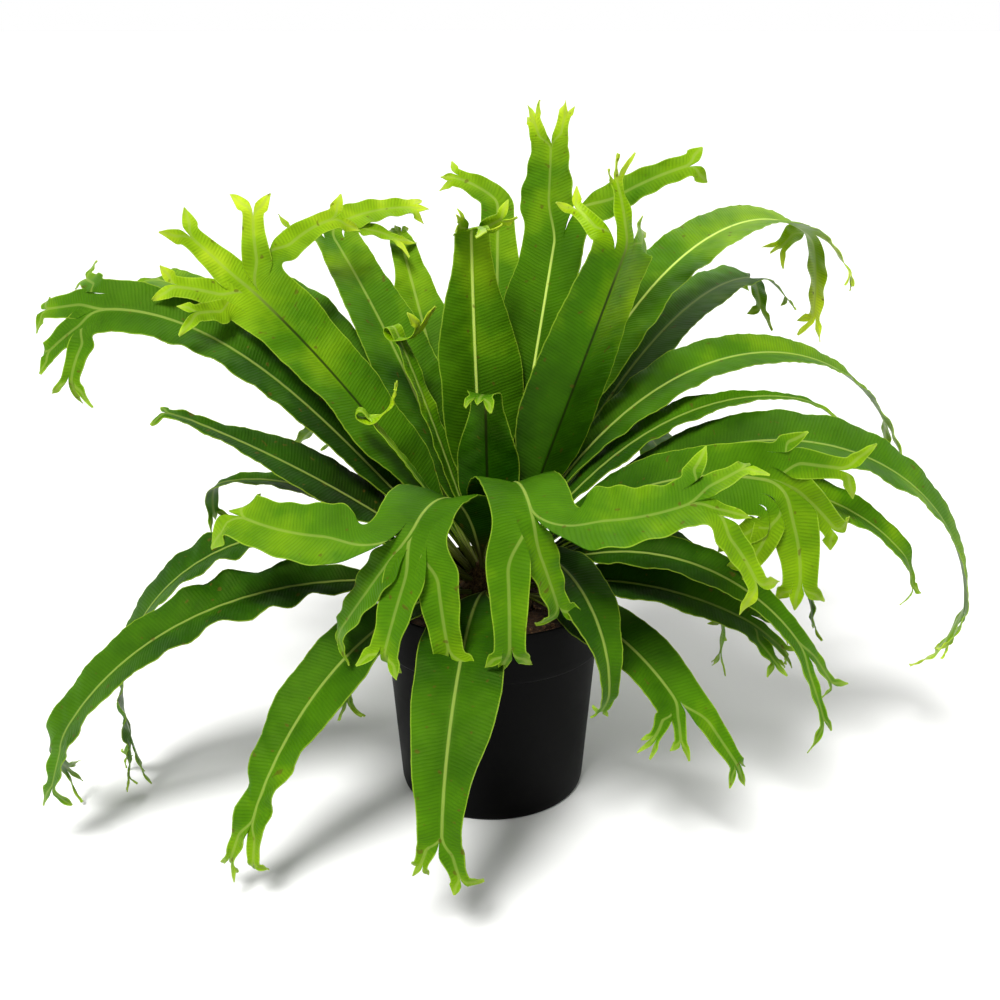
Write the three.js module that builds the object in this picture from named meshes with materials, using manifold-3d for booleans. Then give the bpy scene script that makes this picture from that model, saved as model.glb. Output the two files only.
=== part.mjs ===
// Crested bird's-nest fern in a round plastic nursery pot.
// Millimetres, +Z up. The origin is the centre of the pot's underside, and -Y is the front.
// A frond is one ribbon of leaf: a stalk that leaves the crown, a blade that arches, and a crest of lobes.
import * as THREE from "three";
import { mergeVertices } from "three/addons/utils/BufferGeometryUtils.js";
import Module from "manifold-3d";

const wasm = await Module();
wasm.setup();

// ---- Driving sizes ----

const PLANT_SCALE = 1; // size of the rootstock and of every frond, in all measures, for the same pot

const POT_HEIGHT = 130;
const RIM_DIAMETER = 140;
const RIM_BAND = 32; // height of the wider band below the lip
const BODY_TOP_DIAMETER = 130; // just under the band
const BASE_DIAMETER = 114;
const WALL = 1.6;
const FLOOR = 2.4;
const EDGE_ROUND = 1.2; // small slope at the lip, the band's lower edge and the foot
const DRAIN_HOLES = 8;
const DRAIN_DIAMETER = 9;
const DRAIN_EDGE = 12; // from the base's outer edge to the hole circle
const DRAIN_SIDES = 16;
const ROUND_STEPS = 48;
const MERGE_WITHIN = 1e-4; // vertices this near are one

const SOIL_BELOW_LIP = 11;
const SOIL_SLOPE = 3; // how far the soil falls from the crown to the wall
const SOIL_MOUND = 6; // level ring of soil round the rootstock
const SOIL_CLEARANCE = 0.6;

const CROWN_DIAMETER = 52; // the rootstock's foot on the soil
const CROWN_TOP_DIAMETER = 16;
const CROWN_HEIGHT = 30;
const CROWN_FOOT = 3; // upright edge at the rootstock's foot
const CROWN_GAP = 0.3;
const CROWN_STEPS = 24;
const ROOT_STANDOFF = 1.8; // frond's first station to the rootstock
const FOOT_RISE = -10; // slope of a frond that would leave at the rootstock's foot
const TOP_RISE = 85; // and at its top

const STALK_WIDTH = 3.2;
const STALK_THICKNESS = 1.8;
const BLADE_THICKNESS = 1;
const BLADE_FOLD = 18; // degrees that each half rises from the midrib
const LOBE_FOLD = 6;
const BLADE_STEPS = 9;
const BLADE_FROM = 0.04; // share of the length where the stalk starts to widen
const BLADE_FULL = 0.5; // where the blade has its full width
const BLADE_TAPER = 0.6; // where it starts to narrow
const THIN_BY = 0.4; // where the stalk's thickness has gone down to the blade's
const TWIST_LATE = 4; // power of the length share that twist grows with
const LOBE_STEPS = 3;
const LOBE_FULL = 0.4; // share of a lobe's length where it has its full width
const LOBE_TAPER = 0.35; // where it starts to narrow
const LOBE_TIP = 0.15; // a lobe's last width as a share of its full width
const LOBE_BITE = 2.5; // how far a lobe starts inside its blade
const EARLY_TURN = 0.6; // share of a lobe's turn that it makes at its root

const POT_CLEARANCE = 0.4; // from a frond to the pot's lip and wall
const GROUND_CLEARANCE = 0.4; // from a frond to the surface that the pot stands on
const ANGLE_STEP = 0.5; // degrees by which a frond that would touch either is lifted

const LEAF = { color: 0x5a9216, roughness: 0.42, metalness: 0 };
const YOUNG_LEAF = { color: 0x86b82a, roughness: 0.42, metalness: 0 };

// ---- Fronds ----
// Angles are in degrees and lengths in mm. heading turns from +X towards +Y, rise is the stalk's slope,
// droop is how far the slope has fallen at the blade's end, and bend is how late it falls.
// end is the blade's last width as a share of width. roll tips the face about the midrib, and twist
// adds to it on the way. start is the angle where the stalk leaves the rootstock, where it isn't heading.
// A lobe is [turn, length, fall, width]: turn is to the left of the blade seen from above its face.
// A frond's lobes are in order from its left side to its right, and share its last width.

const FRONDS = {
  frond_left_arching: {
    heading: 172, length: 276, width: 38, rise: 47, droop: 50,
    bend: 3.4, roll: -20, twist: -30, start: 165, end: 1,
    lobes: [[78, 36, 20, 17], [35, 42, 20, 20], [-5, 44, 20, 20], [-45, 30, 40, 15]],
  },
  frond_left_broad: {
    heading: 178, length: 190, width: 42, rise: 40.5, droop: 18, bend: 1, roll: -18, start: 184, end: 0.3,
    lobes: [[10, 14, 0, 12]],
  },
  frond_left_short: {
    heading: 167, length: 170, width: 26, rise: 34, droop: 50, bend: 2, roll: -10, end: 0.5,
    lobes: [[-40, 34, 60, 12]],
  },
  frond_left_crested: {
    heading: 163, length: 206, width: 46, rise: 58.5, droop: 17, bend: 1, roll: -20, twist: -30, end: 1,
    lobes: [
      [70, 30, -40, 15], [40, 46, 0, 18], [5, 54, -10, 20],
      [-45, 48, -10, 18], [-110, 60, 10, 18],
    ],
  },
  frond_left_back_arching: {
    heading: 152, length: 285, width: 36, rise: 44, droop: 38, bend: 3, roll: -10, end: 0.9,
    lobes: [[40, 30, 30, 15], [-30, 32, 60, 16]],
  },
  frond_left_back_high: {
    heading: 141, length: 305, width: 34, rise: 53, droop: 82, bend: 2.6, roll: -15, start: 144, end: 0.6,
    lobes: [[20, 40, 20, 15]],
  },
  frond_left_back_forked: {
    heading: 131, length: 230, width: 50, rise: 59, droop: 18, bend: 1.5, roll: -5, start: 124, end: 0.7,
    lobes: [[70, 20, 0, 12], [-110, 70, -10, 20], [-140, 36, 0, 12]],
  },
  frond_back_broad: {
    heading: 112, length: 225, width: 54, rise: 53, droop: 5, bend: 1, roll: -5, end: 0.35,
    lobes: [[0, 12, 0, 16]],
  },
  young_frond_left_tall: {
    heading: 143, length: 150, width: 14, rise: 69, droop: 8, bend: 1, roll: 0, end: 0.8,
    lobes: [[0, 22, 150, 9]], young: true,
  },
  young_frond_left_short: {
    heading: 182, length: 118, width: 14, rise: 63, droop: 12, bend: 1, roll: 0, end: 0.8,
    lobes: [[0, 20, 150, 9]], young: true,
  },
  frond_centre_upright: {
    heading: 115, length: 194, width: 56, rise: 80, droop: -8, bend: 1, roll: 0, end: 0.42,
    lobes: [[50, 16, -60, 12], [0, 22, -100, 12], [-50, 16, -60, 12]],
  },
  frond_tallest: {
    heading: 50, length: 192, width: 60, rise: 74, droop: -2, bend: 1, roll: 0, end: 0.8,
    lobes: [[6, 72, -5, 40], [-62, 84, 25, 20]],
  },
  frond_back_upright: {
    heading: 88, length: 220, width: 44, rise: 66, droop: 0, bend: 1, roll: 0, end: 0.5,
    lobes: [[70, 36, 10, 16]],
  },
  frond_right_upright: {
    heading: -4, length: 200, width: 58, rise: 71, droop: 0, bend: 1, roll: -55, start: 8, end: 0.8,
    lobes: [[40, 20, -60, 14], [-15, 40, -40, 12], [-60, 28, -60, 12]],
  },
  frond_right_back_arching: {
    heading: 37, length: 345, width: 48, rise: 61, droop: 90, bend: 2.4, roll: 10, start: 45, end: 0.8,
    lobes: [[60, 30, 40, 14], [-10, 65, 60, 20], [-60, 32, 30, 13]],
  },
  frond_right_back_low: {
    heading: 44, length: 285, width: 42, rise: 48, droop: 54, bend: 2.6, roll: 8, end: 0.9,
    lobes: [[35, 28, 40, 14], [0, 32, 60, 14], [-50, 22, 40, 12]],
  },
  frond_right_high: {
    heading: 21, length: 335, width: 42, rise: 59, droop: 116, bend: 1.5, roll: 15, start: 28, end: 0.45,
    lobes: [[20, 36, 20, 11], [-30, 30, 10, 9]],
  },
  frond_right_narrow: {
    heading: 11, length: 220, width: 28, rise: 54, droop: 68, bend: 1.6, roll: 12, start: 13, end: 0.3,
    lobes: [[0, 25, 20, 9]],
  },
  frond_right_longest: {
    heading: 3, length: 362, width: 50, rise: 47, droop: 132, bend: 1.5, roll: 20, end: 0.5,
    lobes: [[0, 38, 30, 15], [-35, 25, 30, 10]],
  },
  frond_right_inner: {
    heading: -6, length: 258, width: 40, rise: 42, droop: 91, bend: 1.5, roll: 18, start: -9, end: 0.6,
    lobes: [[0, 22, 30, 14]],
  },
  frond_right_antler: {
    heading: -16, length: 170, width: 44, rise: 51, droop: 54, bend: 1.3, roll: 12, twist: 62, end: 1,
    lobes: [
      [40, 26, 30, 13], [0, 44, 30, 18], [-45, 54, 28, 20],
      [-85, 66, 14, 28], [-125, 46, 10, 17], [-165, 30, 20, 15],
    ],
  },
  frond_right_drooping: {
    heading: 17, length: 255, width: 42, rise: 43, droop: 122, bend: 1.4, roll: 12, start: 22, end: 0.4,
    lobes: [[10, 40, 0, 12]],
  },
  frond_right_tucked: {
    heading: 5, length: 150, width: 40, rise: 38, droop: 108, bend: 1.3, roll: 15, start: 2, end: 0.6,
    lobes: [[25, 26, 20, 13], [-40, 30, 20, 13]],
  },
  frond_right_slender: {
    heading: -20, length: 188, width: 30, rise: 37, droop: 88, bend: 1.2, roll: 20, start: -26, end: 0.6,
    lobes: [[20, 40, 20, 10], [-20, 46, 10, 10]],
  },
  frond_right_low: {
    heading: -14, length: 138, width: 36, rise: 20, droop: 44, bend: 1, roll: 18, end: 0.9,
    lobes: [[25, 24, 20, 13], [0, 30, 20, 13], [-30, 25, 10, 12]],
  },
  frond_right_lowest: {
    heading: -40, length: 122, width: 38, rise: 15, droop: 59, bend: 1, roll: 18, end: 0.9,
    lobes: [[5, 48, 10, 16], [-35, 24, 0, 10], [-70, 20, 0, 10]],
  },
  frond_front_antler_left: {
    heading: -115, length: 114, width: 48, rise: 71, droop: 101, bend: 1.8, roll: 0, start: -126, end: 1,
    lobes: [[20, 70, 62, 24], [-12, 72, 44, 26], [-48, 74, 44, 26], [-98, 92, -8, 44]],
  },
  frond_front_antler_right: {
    heading: -77, length: 123, width: 48, rise: 76, droop: 103, bend: 1.8, roll: 0, start: -62, end: 1,
    lobes: [[92, 80, -20, 46], [34, 60, 60, 22], [-4, 78, 52, 24]],
  },
  frond_front_hanging: {
    heading: -99, length: 192, width: 50, rise: 26, droop: 108, bend: 1.1, roll: 0, end: 0.5,
    lobes: [[20, 22, 0, 14], [-20, 16, 0, 11]],
  },
  frond_front_right_hanging: {
    heading: -58, length: 155, width: 36, rise: 56, droop: 150, bend: 1.1, roll: 0, end: 0.35,
    lobes: [[0, 14, 30, 10]],
  },
  frond_front_left_short: {
    heading: 209.6, length: 98, width: 16, rise: 42, droop: 116, bend: 1.1, roll: -12, end: 0.9,
    lobes: [[20, 35, 0, 12], [-40, 20, 0, 11]],
  },
  young_frond_front: {
    heading: -104, length: 104, width: 40, rise: 86, droop: 0, bend: 1, roll: 0, end: 0.5,
    lobes: [[0, 14, 90, 20]], young: true,
  },
  frond_left_drooping_outer: {
    heading: 197, length: 262, width: 44, rise: 17, droop: 74, bend: 1.4, roll: -16, end: 0.8,
    lobes: [[20, 30, 10, 22], [-40, 66, 50, 11]],
  },
  frond_left_drooping_inner: {
    heading: 184, length: 306, width: 36, rise: 38, droop: 140, bend: 1.2, roll: -15, start: 197, end: 0.6,
    lobes: [[40, 20, -20, 9], [0, 22, 0, 11], [-50, 30, -20, 9]],
  },
  frond_front_left_drooping: {
    heading: 224, length: 200, width: 42, rise: 22, droop: 88, bend: 0.8, roll: -12, end: 0.5,
    lobes: [[10, 22, 10, 11], [-10, 26, 10, 11]],
  },
  frond_back_high: {
    heading: 75, length: 250, width: 46, rise: 52, droop: 88, bend: 1.6, roll: 0, end: 0.8,
    lobes: [[25, 30, 20, 18], [-25, 30, 20, 18]],
  },
  frond_back_middle: {
    heading: 98, length: 245, width: 46, rise: 42, droop: 105, bend: 1.5, roll: 0, end: 0.8,
    lobes: [[25, 34, 20, 18], [-25, 28, 20, 16]],
  },
  frond_back_left: {
    heading: 122, length: 235, width: 44, rise: 38, droop: 70, bend: 1.5, roll: 0, end: 0.8,
    lobes: [[30, 30, 20, 16], [-20, 34, 20, 16]],
  },
  frond_back_right: {
    heading: 58, length: 235, width: 44, rise: 38, droop: 80, bend: 1.5, roll: 0, end: 0.8,
    lobes: [[20, 36, 20, 18], [-30, 26, 20, 16]],
  },
  frond_back_low: {
    heading: 84, length: 190, width: 42, rise: 25, droop: 105, bend: 1.2, roll: 0, end: 0.8,
    lobes: [[20, 30, 20, 16], [-25, 24, 20, 15]],
  },
};

// ---- Shared places and helpers ----

const radians = THREE.MathUtils.degToRad;
const smoothstep = THREE.MathUtils.smoothstep;
const lerp = THREE.MathUtils.lerp;

function turned(vector, axis, degrees) {
  return vector.clone().applyAxisAngle(axis, radians(degrees));
}

const bandFoot = POT_HEIGHT - RIM_BAND;
const rimRadius = RIM_DIAMETER / 2;
const bodyRadius = BODY_TOP_DIAMETER / 2;
const baseRadius = BASE_DIAMETER / 2;

// The body's outer radius at a height below the band.
function bodyRadiusAt(z) {
  return lerp(baseRadius, bodyRadius, z / bandFoot);
}

const soilTop = POT_HEIGHT - SOIL_BELOW_LIP;
const crownFoot = soilTop + CROWN_GAP;
const crownRadius = (CROWN_DIAMETER / 2) * PLANT_SCALE;
const crownTopRadius = (CROWN_TOP_DIAMETER / 2) * PLANT_SCALE;

// Where a frond leaves the rootstock: the steeper it rises, the higher it sits.
function rootOf(frond) {
  const height = THREE.MathUtils.clamp((frond.rise - FOOT_RISE) / (TOP_RISE - FOOT_RISE), 0, 1);
  const angle = radians(frond.start ?? frond.heading);
  const radius = lerp(crownRadius, crownTopRadius, height) + ROOT_STANDOFF * PLANT_SCALE;
  const z = crownFoot + lerp(CROWN_FOOT, CROWN_HEIGHT, height) * PLANT_SCALE;
  return new THREE.Vector3(radius * Math.cos(angle), radius * Math.sin(angle), z);
}

// ---- Ribbons of leaf ----

// Stations along a frond: a point on the midrib, the way it runs, its left side, its face and half its width.
function bladeStations(frond) {
  const stations = [];
  const point = rootOf(frond);
  const step = (frond.length * PLANT_SCALE) / BLADE_STEPS;
  const heading = radians(frond.heading);
  const level = new THREE.Vector3(-Math.sin(heading), Math.cos(heading), 0);
  for (let i = 0; i <= BLADE_STEPS; i++) {
    const s = i / BLADE_STEPS;
    const pitch = radians(frond.rise - frond.droop * s ** frond.bend);
    const along = new THREE.Vector3(
      Math.cos(pitch) * Math.cos(heading),
      Math.cos(pitch) * Math.sin(heading),
      Math.sin(pitch),
    );
    if (i > 0) point.addScaledVector(along, step / 2);
    const side = turned(level, along, frond.roll + (frond.twist ?? 0) * s ** TWIST_LATE);
    const grow = smoothstep(s, BLADE_FROM, BLADE_FULL);
    const taper = lerp(1, frond.end, smoothstep(s, BLADE_TAPER, 1));
    stations.push({
      point: point.clone(),
      along,
      side,
      face: along.clone().cross(side),
      half: (lerp(STALK_WIDTH, frond.width, grow) / 2) * taper * PLANT_SCALE,
      thickness: lerp(STALK_THICKNESS, BLADE_THICKNESS, smoothstep(s, 0, THIN_BY)) * PLANT_SCALE,
    });
    point.addScaledVector(along, step / 2);
  }
  return stations;
}

// A lobe starts inside the blade's end, between two shares of its width, and turns and falls as it goes.
function lobeStations(end, [turn, length, fall, width], from, to) {
  const middle = 1 - from - to;
  const rootHalf = (to - from) * end.half;
  const along = turned(end.along, end.face, turn * EARLY_TURN);
  const side = turned(end.side, end.face, turn * EARLY_TURN);
  along.applyAxisAngle(side, radians(fall * EARLY_TURN));
  const face = along.clone().cross(side);
  const point = end.point
    .clone()
    .addScaledVector(end.side, middle * end.half * Math.cos(radians(BLADE_FOLD)))
    .addScaledVector(end.face, Math.abs(middle) * end.half * Math.sin(radians(BLADE_FOLD)))
    .addScaledVector(end.along, -LOBE_BITE * PLANT_SCALE);
  const stations = [];
  const rest = (1 - EARLY_TURN) / LOBE_STEPS;
  const step = ((length + LOBE_BITE) * PLANT_SCALE) / LOBE_STEPS;
  for (let i = 0; i <= LOBE_STEPS; i++) {
    const s = i / LOBE_STEPS;
    const swell = lerp(rootHalf, (width * PLANT_SCALE) / 2, smoothstep(s, 0, LOBE_FULL));
    stations.push({
      point: point.clone(),
      side: side.clone(),
      face: face.clone(),
      half: swell * lerp(1, LOBE_TIP, smoothstep(s, LOBE_TAPER, 1)),
      thickness: BLADE_THICKNESS * PLANT_SCALE,
    });
    point.addScaledVector(along, step);
    along.applyAxisAngle(face, radians(turn * rest));
    side.applyAxisAngle(face, radians(turn * rest));
    along.applyAxisAngle(side, radians(fall * rest));
    face.applyAxisAngle(side, radians(fall * rest));
  }
  return stations;
}

// A station's section, a shallow V: three points along its upper face and back along its underside.
function section(station, fold) {
  const corner = (across, down) => {
    const rise = Math.abs(across) * station.half * Math.sin(radians(fold));
    const reach = across * station.half * Math.cos(radians(fold));
    return station.point
      .clone()
      .addScaledVector(station.side, reach)
      .addScaledVector(station.face, rise - down * station.thickness);
  };
  return [
    corner(1, 0),
    corner(0, 0),
    corner(-1, 0),
    corner(-1, 1),
    corner(0, 1),
    corner(1, 1),
  ];
}

// A closed ribbon through sections, as a manifold-3d solid.
function ribbon(sections) {
  const positions = sections.flat().flatMap((p) => [p.x, p.y, p.z]);
  const SECTION = 6;
  const triangles = [];
  const quad = (a, b, c, d) => triangles.push(a, b, c, a, c, d);
  for (let i = 0; i + 1 < sections.length; i++) {
    for (let k = 0; k < SECTION; k++) {
      const here = i * SECTION;
      const next = (k + 1) % SECTION;
      quad(here + k, here + next, here + SECTION + next, here + SECTION + k);
    }
  }
  const last = (sections.length - 1) * SECTION;
  quad(0, 5, 4, 1);
  quad(1, 4, 3, 2);
  quad(last, last + 1, last + 4, last + 5);
  quad(last + 1, last + 2, last + 3, last + 4);
  return new wasm.Manifold(
    new wasm.Mesh({
      numProp: 3,
      vertProperties: new Float32Array(positions),
      triVerts: new Uint32Array(triangles),
    }),
  );
}

// A frond's ribbons as lists of sections: the blade's, then each lobe's.
function frondRibbons(frond) {
  const stations = bladeStations(frond);
  const end = stations[stations.length - 1];
  const shares = frond.lobes.reduce((sum, lobe) => sum + lobe[3], 0);
  const ribbons = [stations.map((station) => section(station, BLADE_FOLD))];
  let from = 0;
  for (const lobe of frond.lobes) {
    const to = from + lobe[3] / shares;
    ribbons.push(lobeStations(end, lobe, from, to).map((station) => section(station, LOBE_FOLD)));
    from = to;
  }
  return ribbons;
}

// Whether a point is too near the pot's lip or wall.
function isInPot(p) {
  const radius = Math.hypot(p.x, p.y);
  const outer = p.z > bandFoot ? rimRadius : bodyRadiusAt(p.z);
  const overSoil = p.z > soilTop && radius < rimRadius - WALL - EDGE_ROUND - POT_CLEARANCE;
  return p.z < POT_HEIGHT + POT_CLEARANCE && radius < outer + POT_CLEARANCE && !overSoil;
}

// Whether a point is too near the surface that the pot stands on.
function isInGround(p) {
  return p.z < GROUND_CLEARANCE;
}

// Whether any ribbon meets what isBlocked tells of, looked at in steps from each section to the next.
function meets(ribbons, isBlocked) {
  const LOOKS = 6;
  const isEdgeBlocked = (a, b) => {
    for (let look = 1; look <= LOOKS; look++) {
      if (isBlocked(a.clone().lerp(b, look / LOOKS))) return true;
    }
    return false;
  };
  return ribbons.some((sections) =>
    sections.slice(1).some((next, i) => next.some((p, k) => isEdgeBlocked(sections[i][k], p))),
  );
}

// A frond's ribbons, clear of the pot and the ground: it rises more to pass the lip, and droops less
// to stay off the ground, by as much as it needs.
function clearRibbons(frond) {
  let { rise, droop } = frond;
  let ribbons = frondRibbons(frond);
  while (rise < TOP_RISE && meets(ribbons, isInPot)) {
    rise += ANGLE_STEP;
    ribbons = frondRibbons({ ...frond, rise, droop });
  }
  while (droop > 0 && meets(ribbons, isInGround)) {
    droop -= ANGLE_STEP;
    ribbons = frondRibbons({ ...frond, rise, droop });
  }
  return ribbons;
}

function frondSolid(frond) {
  return clearRibbons(frond)
    .map(ribbon)
    .reduce((whole, solid) => whole.add(solid));
}

// ---- Pot, soil and rootstock ----

function solidFromGeometry(geometry) {
  const bare = geometry.clone();
  bare.deleteAttribute("normal");
  bare.deleteAttribute("uv");
  const merged = mergeVertices(bare, MERGE_WITHIN);
  return new wasm.Manifold(
    new wasm.Mesh({
      numProp: 3,
      vertProperties: new Float32Array(merged.attributes.position.array),
      triVerts: new Uint32Array(merged.index.array),
    }),
  );
}

function geometryFromSolid(solid) {
  const mesh = solid.getMesh();
  const geometry = new THREE.BufferGeometry();
  geometry.setAttribute("position", new THREE.BufferAttribute(mesh.vertProperties, 3));
  geometry.setIndex(new THREE.BufferAttribute(mesh.triVerts, 1));
  geometry.computeVertexNormals();
  return geometry;
}

// A profile of [radius, height] points, turned about Z. It runs anticlockwise, up the outside.
function turnedProfile(points, steps) {
  const profile = points.map(([r, z]) => new THREE.Vector2(r, z));
  return new THREE.LatheGeometry(profile, steps).rotateX(Math.PI / 2);
}

function potSolid() {
  const inner = bodyRadius - WALL;
  const outline = [
    [0, 0],
    [baseRadius - EDGE_ROUND, 0],
    [baseRadius, EDGE_ROUND],
    [bodyRadius, bandFoot],
    [rimRadius - 2 * EDGE_ROUND, bandFoot + EDGE_ROUND],
    [rimRadius - EDGE_ROUND, bandFoot + 2 * EDGE_ROUND],
    [rimRadius, POT_HEIGHT - EDGE_ROUND],
    [rimRadius - EDGE_ROUND / 2, POT_HEIGHT],
    [rimRadius - WALL, POT_HEIGHT],
    [rimRadius - EDGE_ROUND - WALL, bandFoot + 3 * EDGE_ROUND],
    [inner, bandFoot + 2 * EDGE_ROUND],
    [bodyRadiusAt(FLOOR) - WALL, FLOOR],
    [0, FLOOR],
  ];
  let pot = solidFromGeometry(turnedProfile(outline, ROUND_STEPS));
  const circle = baseRadius - DRAIN_EDGE;
  const drillLength = 3 * FLOOR; // through the floor and past both its faces
  for (let i = 0; i < DRAIN_HOLES; i++) {
    const angle = (2 * Math.PI * i) / DRAIN_HOLES;
    const drill = new THREE.CylinderGeometry(DRAIN_DIAMETER / 2, DRAIN_DIAMETER / 2, drillLength, DRAIN_SIDES)
      .rotateX(Math.PI / 2)
      .translate(circle * Math.cos(angle), circle * Math.sin(angle), FLOOR / 2);
    pot = pot.subtract(solidFromGeometry(drill));
  }
  return pot;
}

function soilGeometry() {
  const shoulder = bandFoot + 2 * EDGE_ROUND;
  const inset = WALL + SOIL_CLEARANCE;
  const outline = [
    [0, FLOOR + SOIL_CLEARANCE],
    [bodyRadiusAt(FLOOR) - inset, FLOOR + SOIL_CLEARANCE],
    [bodyRadius - inset, shoulder],
    [bodyRadius - inset, soilTop - SOIL_SLOPE],
    [crownRadius + SOIL_MOUND, soilTop],
    [0, soilTop],
  ];
  return turnedProfile(outline, ROUND_STEPS);
}

function crownGeometry() {
  const shoulder = crownFoot + CROWN_FOOT * PLANT_SCALE;
  const top = crownFoot + CROWN_HEIGHT * PLANT_SCALE;
  const outline = [
    [0, crownFoot],
    [crownRadius, crownFoot],
    [crownRadius, shoulder],
    [crownTopRadius, top],
    [0, top],
  ];
  return turnedProfile(outline, CROWN_STEPS);
}

// ---- Assembly ----

const plant = new THREE.Group();

function add(name, geometry, look) {
  const mesh = new THREE.Mesh(geometry, new THREE.MeshStandardMaterial(look));
  mesh.name = name;
  plant.add(mesh);
}

add("nursery_pot", geometryFromSolid(potSolid()), { color: 0x17181b, roughness: 0.5, metalness: 0 });
add("potting_soil", soilGeometry(), { color: 0x3a291c, roughness: 0.95, metalness: 0 });
add("rootstock", crownGeometry(), { color: 0x4a3a22, roughness: 0.9, metalness: 0 });
for (const [name, frond] of Object.entries(FRONDS)) {
  add(name, geometryFromSolid(frondSolid(frond)), frond.young ? YOUNG_LEAF : LEAF);
}

export default plant;
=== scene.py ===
"""Crested bird's-nest fern in a black nursery pot: the surfaces that are seen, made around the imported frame.

Sizes are in millimetres in the tables below and turned to metres when a mesh is written. +Z is up and
-Y is the front. A frond is one sheet of leaf: rows across a midrib, which go on into the lobes of its crest.
"""

import math
import zlib

import bpy
import numpy as np
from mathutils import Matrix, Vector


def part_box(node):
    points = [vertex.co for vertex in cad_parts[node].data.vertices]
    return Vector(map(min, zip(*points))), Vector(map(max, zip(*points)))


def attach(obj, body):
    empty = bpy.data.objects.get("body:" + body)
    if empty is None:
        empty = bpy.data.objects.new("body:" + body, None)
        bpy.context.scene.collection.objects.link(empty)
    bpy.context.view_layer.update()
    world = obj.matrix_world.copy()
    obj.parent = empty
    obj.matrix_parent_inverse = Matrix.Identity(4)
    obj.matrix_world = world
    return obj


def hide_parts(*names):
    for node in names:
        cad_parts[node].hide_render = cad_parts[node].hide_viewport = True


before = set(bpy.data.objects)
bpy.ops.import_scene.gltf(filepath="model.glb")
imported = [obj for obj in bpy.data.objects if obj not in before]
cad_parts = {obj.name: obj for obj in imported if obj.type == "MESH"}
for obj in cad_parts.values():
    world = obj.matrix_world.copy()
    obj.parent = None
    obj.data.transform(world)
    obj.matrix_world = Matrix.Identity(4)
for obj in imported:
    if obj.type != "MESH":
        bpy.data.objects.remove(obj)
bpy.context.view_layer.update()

MM = 0.001

# ---- Fronds ----
# heading turns from +X towards +Y, rise is the stalk's slope, droop is how far the slope has fallen at
# the blade's end and bend is how late it falls. roll tips the face about the midrib, and twist adds to
# it on the way. start is the angle where the stalk leaves the rootstock, where it isn't heading. end is
# the blade's last width as a share of width. wave is the margin's ruffle. rib runs from -1, a dark
# midrib, to 1, a pale one. light is how pale and yellow-green the blade is painted: partly its own
# yellowing, and partly painted light, set frond by frond for how much light falls on it, so the fronds
# at the top and back, lit from above, are paler.
# A lobe is [turn, length, fall, width, forks]: turn is to the left of the blade seen from above its face.

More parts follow.
